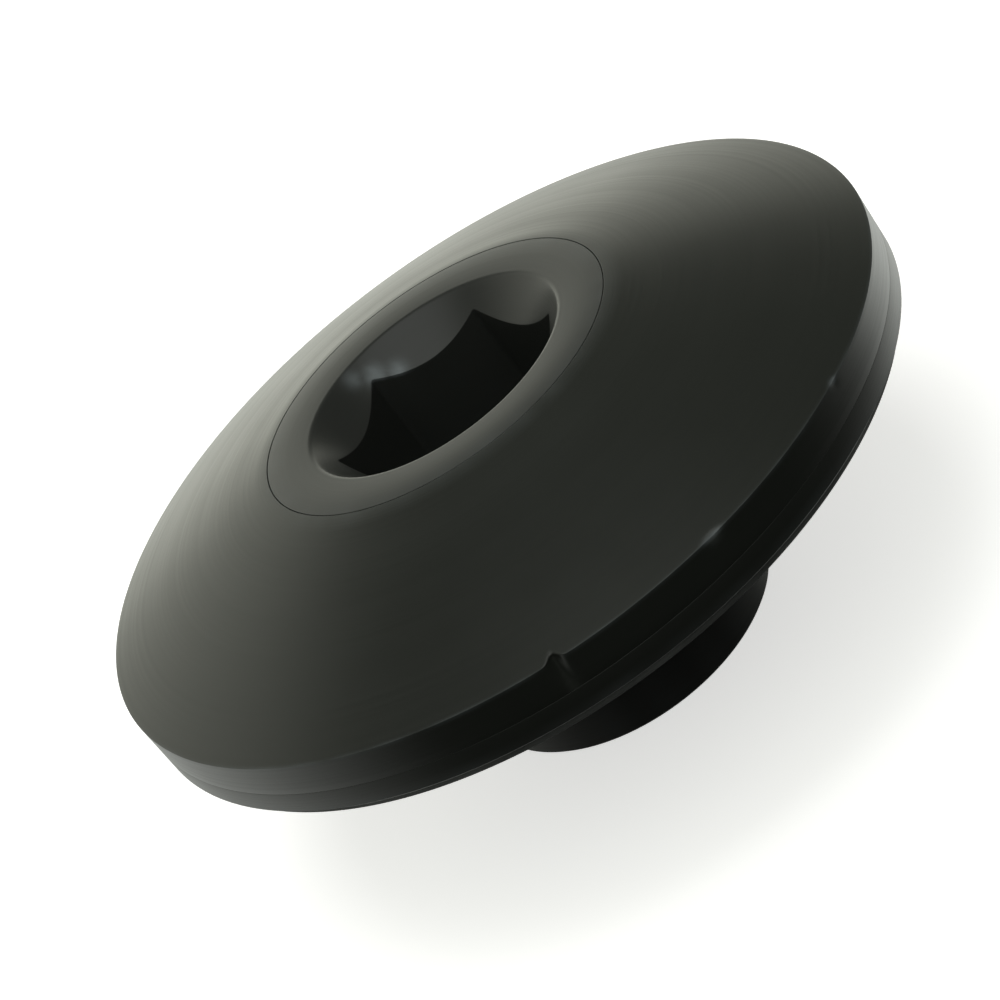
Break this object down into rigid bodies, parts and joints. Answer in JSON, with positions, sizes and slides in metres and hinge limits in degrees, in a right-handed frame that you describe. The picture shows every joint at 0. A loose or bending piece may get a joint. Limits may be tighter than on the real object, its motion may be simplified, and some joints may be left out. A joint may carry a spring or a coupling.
{
  "type": "desk hole plug",
  "caption": "Black domed plug for a desk's cable hole: a turned cap over a base plate and rim seal, with a captive hexagon-socket barrel nut that turns in it.",
  "frame": {"origin": "on the barrel's axis, in the plane of the rim seal's lower face, which seats on the surface round the hole", "axes": "+Z along the barrel's axis, out of the dome; +X through a corner of the hexagon socket"},
  "size_m": [0.032, 0.032, 0.0135],
  "materials": {
    "cap_anodised": "fine-turned and satin black anodised",
    "plate_anodised": "turned and satin black anodised",
    "nut_blacked": "black oxide, faced land and turned barrel",
    "thrust_nylon": "natural nylon",
    "ring_phosphated": "phosphated spring steel",
    "seal_rubber": "moulded grey rubber, matt"
  },
  "bodies": {
    "cap": {"dome_cap": "cap_anodised", "base_plate": "plate_anodised", "rim_seal": "seal_rubber", "thrust_washer": "thrust_nylon"},
    "nut": {"barrel_nut": "nut_blacked", "retaining_ring": "ring_phosphated"}
  },
  "joints": [
    {"name": "nut_turn", "type": "hinge", "parent": "cap", "child": "nut", "pos_m": [0, 0, 0], "axis": [0, 0, 1], "continuous": true}
  ]
}
